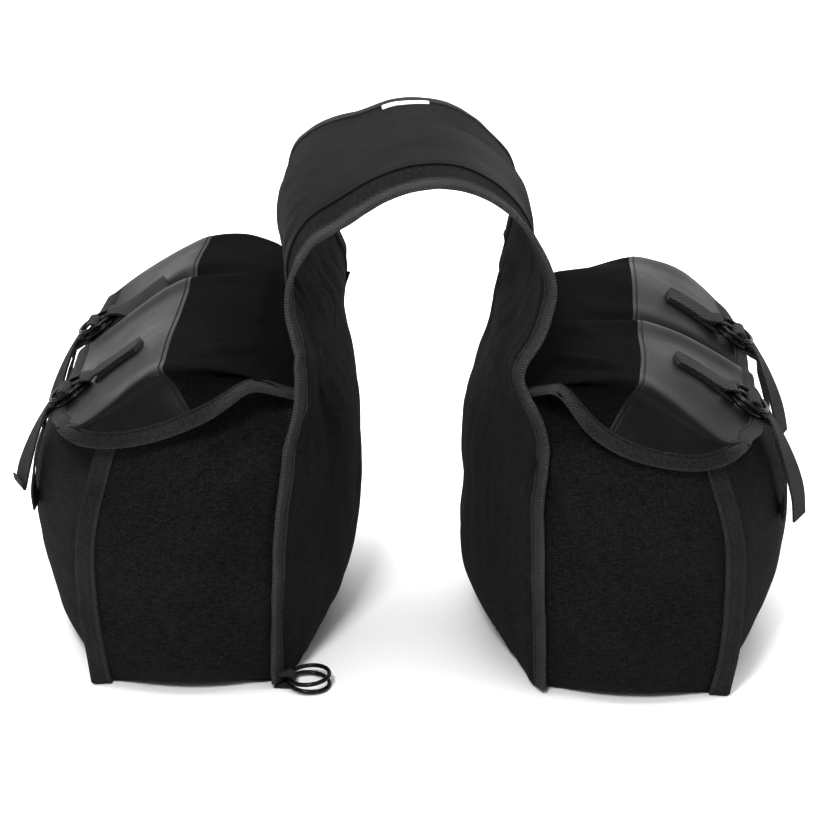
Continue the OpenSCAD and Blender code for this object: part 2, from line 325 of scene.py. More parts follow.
def new_object(name, vertices, faces, material, uv=None, smooth_angle=50):
    mesh = bpy.data.meshes.new(name)
    mesh.from_pydata(np.asarray(vertices, float).reshape(-1, 3).tolist(), [], faces)
    mesh.validate()
    solid = bmesh.new()
    solid.from_mesh(mesh)
    if solid.calc_volume(signed=True) < 0:
        mesh.flip_normals()
    solid.free()
    if uv is not None:
        layer = mesh.uv_layers.new(name="Cloth")
        index = np.zeros(len(mesh.loops), int)
        mesh.loops.foreach_get("vertex_index", index)
        layer.data.foreach_set("uv", np.asarray(uv, float).reshape(-1, 2)[index].ravel())
    mesh.materials.append(material)
    piece = bpy.data.objects.new(name, mesh)
    bpy.context.scene.collection.objects.link(piece)
    mesh.shade_smooth()
    if smooth_angle:
        mesh.set_sharp_from_angle(angle=math.radians(smooth_angle))
    return piece


def lengths(grid):
    """How far each point of a grid is along its own row and column, as the cloth's own place."""
    across = np.linalg.norm(np.diff(grid, axis=1), axis=-1)
    down = np.linalg.norm(np.diff(grid, axis=0), axis=-1)
    u = np.pad(np.cumsum(across, axis=1), ((0, 0), (1, 0)))
    u = u - u[:, grid.shape[1] // 2, None]
    v = np.pad(np.cumsum(down, axis=0), ((1, 0), (0, 0)))
    v = np.repeat(v.mean(axis=1)[:, None], grid.shape[1], axis=1)
    return np.stack([u, v], -1)


def grid_facing(grid):
    return unit(np.cross(np.gradient(grid, axis=0), np.gradient(grid, axis=1)))


def facing_towards(grid, direction):
    """The grid's facing, on the side that looks in that direction at the grid's middle."""
    n = grid_facing(grid)
    return -n if n[grid.shape[0] // 2, grid.shape[1] // 2] @ direction < 0 else n


def quads_of(i):
    """The four corners of each cell in a grid of vertex numbers."""
    return np.stack([i[:-1, :-1], i[:-1, 1:], i[1:, 1:], i[1:, :-1]], -1).reshape(-1, 4)


def sheet_faces(rows, cols):
    """Faces of a closed thin sheet: its two sides and its rim."""
    i = np.arange(rows * cols).reshape(rows, cols)
    quads = quads_of(i)
    back = quads[:, ::-1] + rows * cols
    ring = np.concatenate([i[0, :], i[1:, -1], i[-1, -2::-1], i[-2:0:-1, 0]])
    after = np.roll(ring, -1)
    rim = np.stack([after, ring, ring + rows * cols, after + rows * cols], -1)
    return np.concatenate([quads, back, rim]).tolist()


def sheet_piece(name, grid, thickness, material, smooth_angle=50):
    """A grid of points as the middle of a cloth of that thickness."""
    half = grid_facing(grid) * thickness / 2
    uv = lengths(grid)
    return new_object(name, np.stack([grid + half, grid - half]), sheet_faces(*grid.shape[:2]),
                      material, np.stack([uv, uv]), smooth_angle)


def tree_of(grid):
    """A grid of points as a surface on which the nearest place can be found."""
    i = np.arange(grid.shape[0] * grid.shape[1]).reshape(grid.shape[:2])
    return BVHTree.FromPolygons(grid.reshape(-1, 3).tolist(), quads_of(i).tolist())


def running_mean(values, reach):
    """Each value averaged with its neighbours along the first axis."""
    pad = [(reach, reach)] + [(0, 0)] * (values.ndim - 1)
    wide = np.pad(values, pad, mode="edge")
    return sum(wide[k:k + len(values)] for k in range(2 * reach + 1)) / (2 * reach + 1)


def evenly(path, spacing, rounding=0):
    """The path with points a given distance apart, its corners rounded off."""
    path = np.asarray(path, float)
    far = run_of(path)
    even = read_along(path, far, np.linspace(0, far[-1], max(int(far[-1] / spacing), 2) + 1))
    return running_mean(even, rounding) if rounding else even


def strips_inward(path, tree, distances):
    """Points on a surface at distances in from its edge, and the surface's facing there."""
    path = np.asarray(path, float)
    along = unit(np.gradient(path, axis=0))
    up = np.array([list(tree.find_nearest(p)[1]) for p in path])
    up = unit(running_mean(up, 3))
    inward = unit(np.cross(up, along))
    middle = len(path) // 2
    probe = [tree.find_nearest(path[middle] + s * inward[middle] * TAPE)[3] for s in (1, -1)]
    if probe[0] > probe[1]:
        inward = -inward
    places, facings = [], []
    for p, d in zip(path, inward):
        found = [tree.find_nearest(p + d * x) for x in distances]
        places.append([list(f[0]) for f in found])
        facings.append([list(f[1]) for f in found])
    places, facings = np.array(places), np.array(facings)
    facings = unit(running_mean(facings, 4))
    # The nearest point stops at the edge, so what lies beyond is measured from it
    for k, x in enumerate(distances):
        if x <= 0:
            places[:, k] = path + inward * x
            facings[:, k] = up
    return places, facings


# Distance from the edge and half thickness of a folded binding, in millimetres
BINDING_SHAPE = [
    (-1.2, 0.0), (-0.9, 1.3), (0.2, 2.2), (2.5, 2.4), (6.0, 2.2), (9.7, 2.1), (10.8, 1.1),
    (11.8, 2.0), (13.0, 2.0), (13.4, 1.0),
]
STITCH_IN = 10.8 * MM


def tube_piece(name, rings, material, uv=None, smooth_angle=50):
    """A solid through rings of points, closed at both ends."""
    rows, count = rings.shape[:2]
    i = np.arange(rows * count).reshape(rows, count)
    j = np.roll(i, -1, axis=1)
    quads = np.stack([i[:-1], j[:-1], j[1:], i[1:]], -1).reshape(-1, 4).tolist()
    caps = [i[0][::-1].tolist(), i[-1].tolist()]
    return new_object(name, rings, quads + caps, material, uv, smooth_angle)


def binding(name, path, tree, material, shape=BINDING_SHAPE, ripple=0.25 * MM, seed=1):
    """Folded tape along a surface's edge, and where its stitches lie on both sides."""
    shape = np.array(shape) * MM
    places, facings = strips_inward(path, tree, shape[:, 0])
    wave = noise(places, 9 * MM, seed) * ripple
    half = shape[None, :, 1] + wave * (shape[None, :, 1] > 1 * MM)
    top = places + facings * half[..., None]
    under = places - facings * half[..., None]
    rings = np.concatenate([top, under[:, :0:-1]], axis=1)
    across = np.concatenate([shape[:, 0], shape[:0:-1, 0]])
    uv = np.stack(np.broadcast_arrays(run_of(path)[:, None], across[None, :]), -1)
    piece = tube_piece(name, rings, material, uv, 60)
    row = int(np.argmin(np.abs(shape[:, 0] - STITCH_IN)))
    lines = [(places[:, row] + s * facings[:, row] * (shape[row, 1] + 0.15 * MM),
              s * facings[:, row]) for s in (1, -1)]
    return piece, lines


DASH = np.array([
    (-1, -0.5, -0.4), (-1, 0.5, -0.4), (1, 0.5, -0.4), (1, -0.5, -0.4),
    (-0.75, -0.8, 0.5), (-0.75, 0.8, 0.5), (0.75, 0.8, 0.5), (0.75, -0.8, 0.5),
])
DASH_FACES = [(3, 2, 1, 0), (4, 5, 6, 7), (0, 1, 5, 4), (1, 2, 6, 5), (2, 3, 7, 6), (3, 0, 4, 7)]


def stitches(name, lines, material, pitch=3.6 * MM, size=(1.25 * MM, 0.55 * MM, 0.45 * MM)):
    """Short raised threads along lines of points and facings."""
    vertices, faces = [], []
    for path, up in lines:
        far = run_of(path)
        places = np.arange(pitch / 2, far[-1], pitch)
        p = read_along(path, far, places)
        n = unit(read_along(up, far, places))
        t = unit(np.gradient(p, axis=0))
        side = np.cross(n, t)
        start = len(vertices)
        block = (p[:, None] + t[:, None] * DASH[None, :, :1] * size[0]
                 + side[:, None] * DASH[None, :, 1:2] * size[1]
                 + n[:, None] * DASH[None, :, 2:] * size[2]).reshape(-1, 3)
        vertices.extend(block.tolist())
        for k in range(len(p)):
            faces.extend([tuple(start + 8 * k + i for i in f) for f in DASH_FACES])
    return new_object(name, vertices, faces, material, smooth_angle=0)


# ---------------------------------------------------------------- materials


class Nodes:
    """Short calls for a material's node tree."""

    def __init__(self, name):
        self.material = bpy.data.materials.new(name)
        self.material.use_nodes = True
        self.tree = self.material.node_tree
        self.shader = self.tree.nodes["Principled BSDF"]

    def add(self, kind, inputs=None, **settings):
        node = self.tree.nodes.new(kind)
        for key, value in settings.items():
            setattr(node, key, value)
        for key, value in (inputs or {}).items():
            self.set(node, key, value)
        return node

    def set(self, node, key, value):
        if isinstance(value, bpy.types.NodeSocket):
            self.tree.links.new(value, node.inputs[key])
        else:
            node.inputs[key].default_value = value

    def math(self, operation, a, b=0.0, clamp=False):
        node = self.add("ShaderNodeMath", {0: a, 1: b}, operation=operation, use_clamp=clamp)
        return node.outputs[0]

    def times(self, a, b):
        return self.math("MULTIPLY", a, b)

    def total(self, *values):
        return functools.reduce(lambda a, b: self.math("ADD", a, b), values)

    def shaded(self, shade, tone):
        """A grey that is lighter or darker by tone."""
        return self.add("ShaderNodeVectorMath", {
            0: grey(shade)[:3], "Scale": tone}, operation="SCALE").outputs[0]

    def streaks(self, vector, scale, detail, roughness=0.5):
        """Noise that is finer in some directions than in others."""
        stretched = self.add("ShaderNodeMapping", {"Vector": vector, "Scale": scale}).outputs[0]
        return self.noise(stretched, 1.0, detail, roughness)

    def own_place(self):
        return self.add("ShaderNodeTexCoord").outputs["Object"]

    def noise(self, vector, scale, detail=2.0, roughness=0.5):
        node = self.add("ShaderNodeTexNoise", {
            "Vector": vector, "Scale": scale, "Detail": detail, "Roughness": roughness})
        return node.outputs["Fac"]

    def ramp(self, value, low, high, a, b):
        node = self.add("ShaderNodeMapRange", {
            "Value": value, "From Min": low, "From Max": high, "To Min": a, "To Max": b})
        return node.outputs["Result"]

    def mix(self, share, a, b):
        node = self.add("ShaderNodeMix", data_type="RGBA")
        for key, value in ((0, share), (6, a), (7, b)):
            self.set(node, key, value)
        return node.outputs[2]

    def place(self):
        """The place on the object, and the place on the cloth's own flat cut, in metres."""
        cloth = self.add("ShaderNodeUVMap", uv_map="Cloth").outputs["UV"]
        parts = self.add("ShaderNodeSeparateXYZ", {0: cloth})
        return self.own_place(), cloth, parts.outputs["X"], parts.outputs["Y"]

    def wave(self, value, pitch):
        return self.math("SINE", self.times(value, 2 * math.pi / pitch))

    def bump(self, height, distance, strength=1.0):
        return self.add("ShaderNodeBump", {
            "Height": height, "Distance": distance, "Strength": strength}).outputs["Normal"]

    def finish(self, colour, roughness, normal, sheen=0.0, sheen_roughness=0.5, specular=0.3,
               metallic=0.0, coat=0.0, coat_roughness=0.2):
        for key, value in {
            "Base Color": colour, "Roughness": roughness, "Normal": normal,
            "Specular IOR Level": specular, "Sheen Weight": sheen,
            "Sheen Roughness": sheen_roughness, "Metallic": metallic, "Coat Weight": coat,
            "Coat Roughness": coat_roughness,
        }.items():
            self.set(self.shader, key, value)
        return self.material


def grey(value):
    return (value, value * 0.985, value * 0.97, 1)


def specks(n, vector, scale, reach):
    """1 on a few scattered specks of lint and 0 elsewhere."""
    cells = n.add("ShaderNodeTexVoronoi", {"Vector": vector, "Scale": scale})
    near = n.math("LESS_THAN", cells.outputs["Distance"], reach)
    chosen = n.add("ShaderNodeSeparateColor", {0: cells.outputs["Color"]}).outputs[0]
    return n.times(near, n.math("GREATER_THAN", chosen, 0.9))


WEAVE_PITCH = 1.7 * MM
# Tone is never less than this share of a cloth's shade
DARKEST = 0.1


def canvas_material(name, shade, contrast=1.0, depth=0.35 * MM, sheen=0.07, specular=0.09):
    """Plain weave with uneven threads, a little fuzz and a few specks of lint."""
    n = Nodes(name)
    point, cloth, u, v = n.place()
    weave = n.times(n.wave(u, WEAVE_PITCH), n.wave(v, WEAVE_PITCH))
    weft = n.streaks(cloth, (110, 760, 1), 3)
    warp = n.streaks(cloth, (760, 90, 1), 3)
    fuzz = n.noise(point, 520, 3, 0.7)
    patches = n.noise(point, 14, 4, 0.6)
    tone = n.total(n.ramp(patches, 0.35, 0.65, 0.84, 1.14),
                   n.ramp(weft, 0.3, 0.7, -0.2 * contrast, 0.2 * contrast),
                   n.ramp(warp, 0.3, 0.7, -0.1 * contrast, 0.1 * contrast),
                   n.ramp(fuzz, 0.3, 0.75, -0.34 * contrast, 0.46 * contrast),
                   n.times(weave, 0.32 * contrast))
    colour = n.shaded(shade, n.math("MAXIMUM", tone, DARKEST))
    colour = n.mix(specks(n, point, 46, 0.02), colour, grey(0.25))
    height = n.total(n.times(weave, 0.5), n.times(weft, 0.9), n.times(fuzz, 0.7))
    return n.finish(colour, n.ramp(fuzz, 0.3, 0.7, 0.78, 0.95), n.bump(height, depth),
                    sheen=sheen, sheen_roughness=0.45, specular=specular)


def tape_material(name, shade, pitch=2.4 * MM, dots=0.0):
    """Herringbone tape: diagonal ribs that turn back at its middle, with lighter dots."""
    n = Nodes(name)
    point, _, u, v = n.place()
    fold = n.math("ABSOLUTE", n.math("SUBTRACT", v, TAPE / 2))
    ribs = n.wave(n.math("ADD", u, fold), pitch)
    threads = n.wave(n.math("SUBTRACT", u, fold), pitch * 0.7)
    fuzz = n.noise(point, 480, 3, 0.7)
    patches = n.noise(point, 22, 3, 0.6)
    # The folded edge is lighter than the rest
    tone = n.total(n.ramp(patches, 0.35, 0.65, 0.85, 1.15), n.times(ribs, 0.45),
                   n.ramp(fuzz, 0.35, 0.75, -0.36, 0.5), n.ramp(v, -1 * MM, 2.5 * MM, 0.4, 0.0))
    if dots:
        dot = n.times(n.wave(u, pitch * 0.9), n.wave(v, pitch * 0.9))
        tone = n.total(tone, n.times(dot, dots))
    colour = n.shaded(shade, n.math("MAXIMUM", tone, DARKEST))
    height = n.total(n.times(ribs, 0.7), n.times(threads, 0.25), n.times(fuzz, 0.6))
    return n.finish(colour, n.ramp(fuzz, 0.3, 0.7, 0.72, 0.92), n.bump(height, 0.6 * MM),
                    sheen=0.09, sheen_roughness=0.4, specular=0.12)


def webbing_material(name, shade):
    """Coarse webbing, with ribs that lean one way and finer ones that lean the other."""
    n = Nodes(name)
    point, _, u, v = n.place()
    ribs = n.wave(n.math("ADD", n.times(u, 0.8), v), 2.6 * MM)
    cross = n.wave(n.math("SUBTRACT", n.times(u, 0.8), v), 2.0 * MM)
    fuzz = n.noise(point, 560, 4, 0.7)
    tone = n.total(n.ramp(n.noise(point, 30, 3), 0.35, 0.65, 0.85, 1.15), n.times(ribs, 0.3),
                   n.ramp(fuzz, 0.35, 0.75, -0.36, 0.52))
    colour = n.shaded(shade, n.math("MAXIMUM", tone, DARKEST))
    height = n.total(n.times(ribs, 0.8), n.times(cross, 0.4), n.times(fuzz, 0.9))
    return n.finish(colour, n.ramp(fuzz, 0.3, 0.7, 0.7, 0.92), n.bump(height, 0.7 * MM),
                    sheen=0.09, sheen_roughness=0.4, specular=0.12)


def leather_material(name, shade):
    """Smooth black leather with fine grain, long creases and patches of wear."""
    n = Nodes(name)
    point = n.own_place()
    grain = n.add("ShaderNodeTexVoronoi", {"Vector": point, "Scale": 620},
                  feature="DISTANCE_TO_EDGE").outputs["Distance"]
    pores = n.noise(point, 1300, 3, 0.6)
    creases = n.streaks(point, (40, 14, 40), 5, 0.65)
    wear = n.noise(point, 28, 4, 0.6)
    colour = n.shaded(shade, n.ramp(wear, 0.3, 0.7, 0.8, 1.25))
    height = n.total(n.ramp(grain, 0.0, 0.25, 0.0, 0.35), n.times(pores, 0.3), creases)
    rough = n.total(n.ramp(wear, 0.3, 0.7, 0.34, 0.42), n.ramp(pores, 0.3, 0.7, -0.03, 0.05))
    return n.finish(colour, rough, n.bump(height, 0.16 * MM), specular=0.17)


def ring_material(name):
    """Black painted wire, worn lighter in places."""
    n = Nodes(name)
    worn = n.noise(n.own_place(), 260, 4, 0.6)
    colour = n.mix(n.ramp(worn, 0.6, 0.72, 0.0, 0.5), grey(0.008), grey(0.04))
    return n.finish(colour, n.ramp(worn, 0.3, 0.75, 0.2, 0.4), n.bump(worn, 0.05 * MM),
                    specular=0.3)


def thread_material(name, shade):
    n = Nodes(name)
    twist = n.noise(n.own_place(), 2200, 2)
    colour = n.mix(twist, grey(shade * 0.6), grey(shade * 1.5))
    return n.finish(colour, 0.55, n.bump(twist, 0.1 * MM), specular=0.35)


def label_material(name):
    n = Nodes(name)
    weave = n.noise(n.own_place(), 1800, 3)
    colour = n.mix(n.ramp(weave, 0.3, 0.7, 0, 1), (0.72, 0.72, 0.71, 1), (0.9, 0.9, 0.89, 1))
    return n.finish(colour, 0.8, n.bump(weave, 0.12 * MM), specular=0.2)


def floor_material(name):
    n = Nodes(name)
    paper = n.noise(n.own_place(), 300, 2)
    colour = n.mix(paper, (0.90, 0.90, 0.90, 1), (0.93, 0.93, 0.93, 1))
    return n.finish(colour, 0.9, n.bump(paper, 0.02 * MM), specular=0.1)


CANVAS = canvas_material("Canvas", 0.0155, contrast=2.2, depth=0.6 * MM, sheen=0.035)
# A darker copy of the canvas for the flap: its colour is darkened as painted shade, where the
# bridge's legs beside it shade the flap.
CANVAS_FLAP_SHADED = canvas_material("CanvasFlapShaded", 0.0075, contrast=1.8, sheen=0.0, specular=0.04)
CANVAS_BAND = canvas_material("CanvasBand", 0.0098, contrast=0.9, depth=0.2 * MM, sheen=0.05)
TAPE_CLOTH = tape_material("BindingTape", 0.032)
TAPE_DOTTED = tape_material("ThrowBinding", 0.044, dots=0.5)
WEBBING = webbing_material("Webbing", 0.042)
LEATHER = leather_material("Leather", 0.010)
RING_BLACK = ring_material("RingBlack")
THREAD = thread_material("Thread", 0.005)
FLUFF = thread_material("LooseThread", 0.12)
LABEL = label_material("Label")


def dress(piece, body=None, blend=None, replaces=()):
    """Attaches a piece to the body it rides on, or bakes its place into its mesh when a blend is
    given, and hides the CAD nodes it stands for.
    """
    if blend:
        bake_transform(piece)
    elif body:
        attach(piece, body)
    if replaces:
        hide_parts(*replaces)
    return piece


# ---------------------------------------------------------------- throw


def other_side(points):
    return [(-x, -y, z) for x, y, z in points]


def whole_edge(end):
    """One edge of the throw from the left hem over the top to the right hem."""
    return curve(other_side(EDGES["left"][-end][:0:-1]) + EDGES["right"][end])


def whole_curl(end):
    left = [(i - LAST, -c) for i, c in enumerate(CURL["left"][-end][:0:-1])]
    return graph(left + list(enumerate(CURL["right"][end])))


near_line, far_line = whole_edge(-1), whole_edge(1)
near_curl, far_curl = whole_curl(-1), whole_curl(1)
swell_at = {side: graph(points) for side, points in SWELL.items()}


def plain_throw(t, w):
    """A point on the throw: t from -13 at the left hem over the top to 13, w across it."""
    t, w = np.broadcast_arrays(np.asarray(t, float), np.asarray(w, float))
    near, far = near_line(t + LAST), far_line(t + LAST)
    p = near + (far - near) * w[..., None]
    side = np.where(t < 0, -1.0, 1.0)
    width = np.linalg.norm(far - near, axis=-1)
    x, y, z = p[..., 0] * side, p[..., 1] * side, p[..., 2]
    swell = np.where(t < 0, swell_at["left"](z), swell_at["right"](z))
    swell = swell * np.clip(1 - np.abs(y / SEAM_Y) ** 2.2, 0, None)
    bow_out = np.where(t < 0, LEG_BOW["left"], LEG_BOW["right"])
    swell = swell - bow_out * hump(z, BOW_Z, BOW_HEIGHT) * (1 - (2 * w - 1) ** 2)
    # Each edge stands out from the cloth beside it, and the curls are kept in world x
    curled = near_curl(t) * smooth(w * width, 0, CURL_WIDTH) * (1 - smooth(w, 0.3, 0.7))
    curled += far_curl(t) * smooth((1 - w) * width, 0, CURL_WIDTH) * smooth(w, 0.3, 0.7)
    world_x = (x - swell) * side - curled
    crown = CROWN * smooth(w * width, -0.6, CROWN_REACH) * (1 - w) * smooth(z, 34, 41)
    return np.stack([world_x, y * side, z + crown], -1) * CM


def throw_folds(p):
    """Drapery and unevenness of the throw."""
    y, z = p[..., 1] * np.where(p[..., 0] < 0, -1.0, 1.0) / CM, p[..., 2] / CM
    # Folds that fan out below the place where each leg meets the swollen panel
    dy, dz = y - 12.5, 31.0 - z
    angle = np.arctan2(dy, np.maximum(dz, 0.1))
    reach = np.hypot(dy, dz)
    fan = np.sin(angle * 9.0 + 0.7) + 0.5 * np.sin(angle * 17.0 + 2.0)
    fan = np.sign(fan) * np.abs(fan) ** 0.8
    depth = smooth(reach, 1, 5) * (1 - smooth(reach, 8, 19)) * smooth(z, 8, 16)
    folds = 0.11 * fan * depth * (dz > 0)
    # Soft crease where the leg turns into the panel
    folds += 0.5 * hump(z, 27.5 + 0.12 * (y + 6), 1.5) * hump(y, -8, 7)
    folds -= 0.35 * hump(z, 30.5 + 0.12 * (y + 6), 1.3) * hump(y, -7, 7)
    soft = 0.16 * noise(p, 0.05, 3) + 0.07 * noise(p, 0.022, 4)
    upright = 0.10 * noise(p, (0.012, 0.012, 0.07), 5) * (1 - smooth(z, 36, 42))
    total = folds + soft * (1 - 0.5 * smooth(z, 38, 43)) + upright
    return -total * CM


throw = displaced(plain_throw, throw_folds)


def throw_grid(t0, t1, low, high, rows, cols):
    """A patch of the throw from one distance in from its near edge to one from its far edge."""
    t = np.linspace(t0, t1, rows)[:, None]
    width = np.linalg.norm(far_line(t[:, 0] + LAST) - near_line(t[:, 0] + LAST), axis=-1) * CM
    share = np.linspace(0, 1, cols)[None, :]
    distance = low + (width[:, None] - low - high) * share
    return throw(t, distance / width[:, None])


# Where the throw bends at a bag's swing, as x and z at the bag's end and at the bridge's
THROW_BEND = ((0.116, 0.270), (0.112, 0.335))


def throw_blend(side):
    s = SIDES[side]
    (x0, z0), (x1, z1) = THROW_BEND
    return (f"bag_{side}", "bridge", (s * x0, 0, z0), (s * x1, 0, z1))


THROW_PARTS = {
    "left": (-LAST, -TOP_SPLIT), "top": (-TOP_SPLIT, TOP_SPLIT), "right": (TOP_SPLIT, LAST),
}


def seat_on_throw(piece, part, replaces=()):
    if part == "top":
        return dress(piece, body="bridge", replaces=replaces)
    return dress(piece, blend=throw_blend(part), replaces=replaces)


THROW_CELLS = (110 * FINE, 84 * FINE)
# How far past a part's ends its surface goes on, so that the binding follows it to the end
PAST_END = 0.4


def build_throw():
    for part, (t0, t1) in THROW_PARTS.items():
        grid = throw_grid(t0, t1, 0, 0, *THROW_CELLS)
        piece = sheet_piece(f"throw_canvas_{part}", grid, CLOTH, CANVAS)
        nodes = ["bridge_canvas"] if part == "top" else [f"back_panel_{part}"]
        seat_on_throw(piece, part, nodes)
        tree = tree_of(throw_grid(t0 - PAST_END, t1 + PAST_END, 0, 0, *THROW_CELLS))
        lines = []
        for end, column in (("near", 0), ("far", -1)):
            path = evenly(grid[:, column], 3.5 * MM)
            tape, sewn = binding(f"throw_binding_{end}_{part}", path, tree, TAPE_DOTTED,
                                 ripple=0.35 * MM, seed=31 + column)
            nodes = [f"bridge_binding_{end}"] if part == "top" else [f"back_binding_{end}_{part}"]
            seat_on_throw(tape, part, nodes)
            lines += sewn
        seat_on_throw(stitches(f"throw_stitches_{part}", lines, THREAD), part)
        build_band(part, t0, t1)


# Distances of the bridge's second layer from the throw's near and far edges
BAND_IN = (34 * MM, 95 * MM)


def build_band(part, t0, t1):
    """The smoother second layer of canvas on the outside of the bridge, and its ditch seam, whose
    black stitches also stand in for the shadow under the band's raised edge.
    """
    t0, t1 = max(t0, -BAND_END), min(t1, BAND_END)
    rows = 90 * FINE if part == "top" else 22 * FINE
    grid = throw_grid(t0, t1, *BAND_IN, rows, 90 * FINE)
    n = grid_facing(grid)
    inward = np.linalg.norm(grid - grid[:, :1], axis=-1)
    lift = (1.35 + 0.35 * hump(inward, 1.5 * MM, 2.5 * MM))[..., None] * MM
    piece = sheet_piece(f"bridge_band_{part}", grid + n * lift, 1.0 * MM, CANVAS_BAND)
    seat_on_throw(piece, part, ["bridge_reinforcement"] if part == "top" else [])
    # The ditch seam's black stitches are real stitching and also a painted shadow: they darken the
    # line where the band's raised edge casts its shade.
    ditch = throw_grid(t0, t1, BAND_IN[0] - 1.6 * MM, BAND_IN[1], rows, 90 * FINE)
    lines = [(ditch[:, 0] + n[:, 0] * 0.9 * MM, n[:, 0])]
    seat_on_throw(stitches(f"band_stitches_and_shadow_{part}", lines, THREAD, pitch=2.3 * MM,
                           size=(1.1 * MM, 0.55 * MM, 0.4 * MM)), part)


# ---------------------------------------------------------------- bag


def back_seam(side, end):
    """Where a gusset meets the back panel, as x at a height z."""
    edge = curve(EDGES[side][end])(np.linspace(6, LAST, 300))[::-1]
    return lambda z: np.interp(z, edge[:, 2], edge[:, 0]) - 1.0


seam_x = {end: graph(points) for end, points in FRONT_SEAM.items()}
front_reach = graph(FRONT_PROFILE)
gusset_height = graph(GUSSET_TOP)


def bottom_inset(side, z):
    """How far the wall stands in from its full outline near the rounded bottom."""
    t = np.clip(1 - z / BOTTOM_RISE[side], 0, 1)
    return BOTTOM_DEPTH[side] * (1 - np.sqrt(1 - t * t))


def plain_gusset(side, end):
    back_x = back_seam(side, end)

    def at(p, q):
        """p from the back seam to the front seam, q from the base to under the flap."""
        p, q = np.broadcast_arrays(np.asarray(p, float), np.asarray(q, float))
        top = gusset_height(GUSSET_X[0] + (GUSSET_X[1] - GUSSET_X[0]) * p)
        z = q * top
        back, front = back_x(z), seam_x[end](z)
        x = back + (front - back) * p
        y = SEAM_Y + (FRONT_SEAM_Y - SEAM_Y) * p
        from_middle = np.abs(2 * np.clip(p, 0, 1) - 1)
        level = np.clip(1 - np.abs((z - 8) / 20) ** 2.4, 0, None)
        y = y + BELLY * (1 - from_middle ** 2.0) * level
        # The cloth is tucked in below the flap near the back
        tuck = smooth(z, 21.5, 27) * (1 - smooth(x, 16, 22)) * smooth(p, 0.02, 0.14)
        y = y - TUCK * tuck - 0.6 * smooth(z, 22, 27)
        seam_share = AT_BACK_SEAM + (AT_FRONT_SEAM - AT_BACK_SEAM) * p
        share = seam_share + (1 - seam_share) * (1 - from_middle ** 2.5)
        y = y - bottom_inset(side, z) * share
        return np.stack([x, end * y, z], -1) * CM

    return at


def plain_front(side):
    def at(t, z):
        """t from -1 at one front seam to 1 at the other, and the height z."""
        t, z = np.broadcast_arrays(np.asarray(t, float), np.asarray(z, float))
        inset = bottom_inset(side, z)
        seam = seam_x[-1](z) * (1 - t) / 2 + seam_x[1](z) * (1 + t) / 2
        x = seam + (front_reach(z) - seam) * (1 - np.abs(t) ** 2.3)
        y = (FRONT_SEAM_Y - inset * AT_FRONT_SEAM) * t
        return np.stack([x - inset * (1 - np.abs(t) ** 4), y, z], -1) * CM

    return at


def fold(p, start, end, width, height):
    """A rounded fold along the line from start to end, in centimetres."""
    a, b = np.array(start) * CM, np.array(end) * CM
    along = b - a
    share = np.clip(((p - a) @ along) / (along @ along), 0, 1)
    away = np.linalg.norm(p - (a + share[..., None] * along), axis=-1) / CM
    fade = smooth(share, 0, 0.2) * (1 - smooth(share, 0.6, 1.0) * 0.9)
    return height * fade * np.exp(-((away / width) ** 2))


def bag_folds(seed):
    def amount(p):
        """Unevenness of a soft bag, drawn for the right-hand side, in metres."""
        z = p[..., 2] / CM
        soft = 0.30 * noise(p, 0.075, seed) + 0.11 * noise(p, 0.03, seed + 1)
        soft += 0.05 * noise(p, (0.012, 0.03, 0.012), seed + 2)
        total = soft * smooth(z, 0, 5)
        for e in (-1, 1):
            total = total + fold(p, (12, e * 17, 24), (19, e * 18.5, 9), 1.0, 0.35)
            total = total - fold(p, (11.5, e * 17, 22), (15.5, e * 18.5, 10), 1.1, 0.40)
            total = total + fold(p, (11.2, e * 17, 9), (20, e * 18.5, 5), 1.3, 0.2)
            total = total - fold(p, (26, e * 17, 20), (19, e * 18.5, 13), 1.2, 0.22)
            total = total - fold(p, (12, e * 17, 1), (18, e * 18, 6), 1.2, 0.22)
        return total * CM

    return amount


def rows_up(top, count, rise):
    """Heights from the floor to the top, closer together round the bottom."""
    low = rise * (1 - np.cos(np.linspace(0, math.pi / 2, 16)))
    return np.concatenate([low[:-1], np.linspace(rise, top, count)])


def bag_grids(side):
    s, seed = SIDES[side], SEED[side]
    grids = {}
    amount = bag_folds(seed)
    for end_name, world_end in ENDS.items():
        end = world_end * s
        plain = plain_gusset(side, end)
        surface = displaced(plain, lambda p, e=end: amount(p) * -e)
        p = np.linspace(0, 1, 56 * FINE)[None, :]
        rows = rows_up(GUSSET_ROWS_TOP, 60 * FINE, BOTTOM_RISE[side])
        q = (rows / GUSSET_ROWS_TOP)[:, None]
        grids[f"gusset_{end_name}"] = surface(p, q) * turn_of(side)
    t = np.linspace(-1, 1, 110 * FINE)[None, :]
    z = rows_up(FRONT_TOP, 60 * FINE, BOTTOM_RISE[side])[:, None]
    surface = displaced(plain_front(side), lambda p: -amount(p))
    grids["front_panel"] = surface(t, z) * turn_of(side)
    return grids


# A little over half the thickness of the folded tape
FLANGE_HALF = 2.6 * MM


def flange_grid(side, end, gusset):
    """A strip that stands out along a front seam in the gusset's own plane."""
    seam = gusset[:, -1]
    before = gusset[:, -7]
    out = unit(running_mean(seam - before, 6))
    out = unit(out * [1, 0.6, 0.3] + np.array([0, end * 0.05, 0]))
    start = running_mean(seam, 2)
    lean = noise(start, 0.05, SEED[side] + 7)[:, None] * np.array([0, 0.0016, 0])
    places = np.linspace(-0.30, FLANGE, 9)[None, :, None] * CM
    grid = start[:, None] + out[:, None] * places
    grid += (lean + np.array([0, end * FLANGE_HALF, 0]))[:, None]
    grid[..., 2] = np.maximum(grid[..., 2], FLANGE_HALF)
    return grid


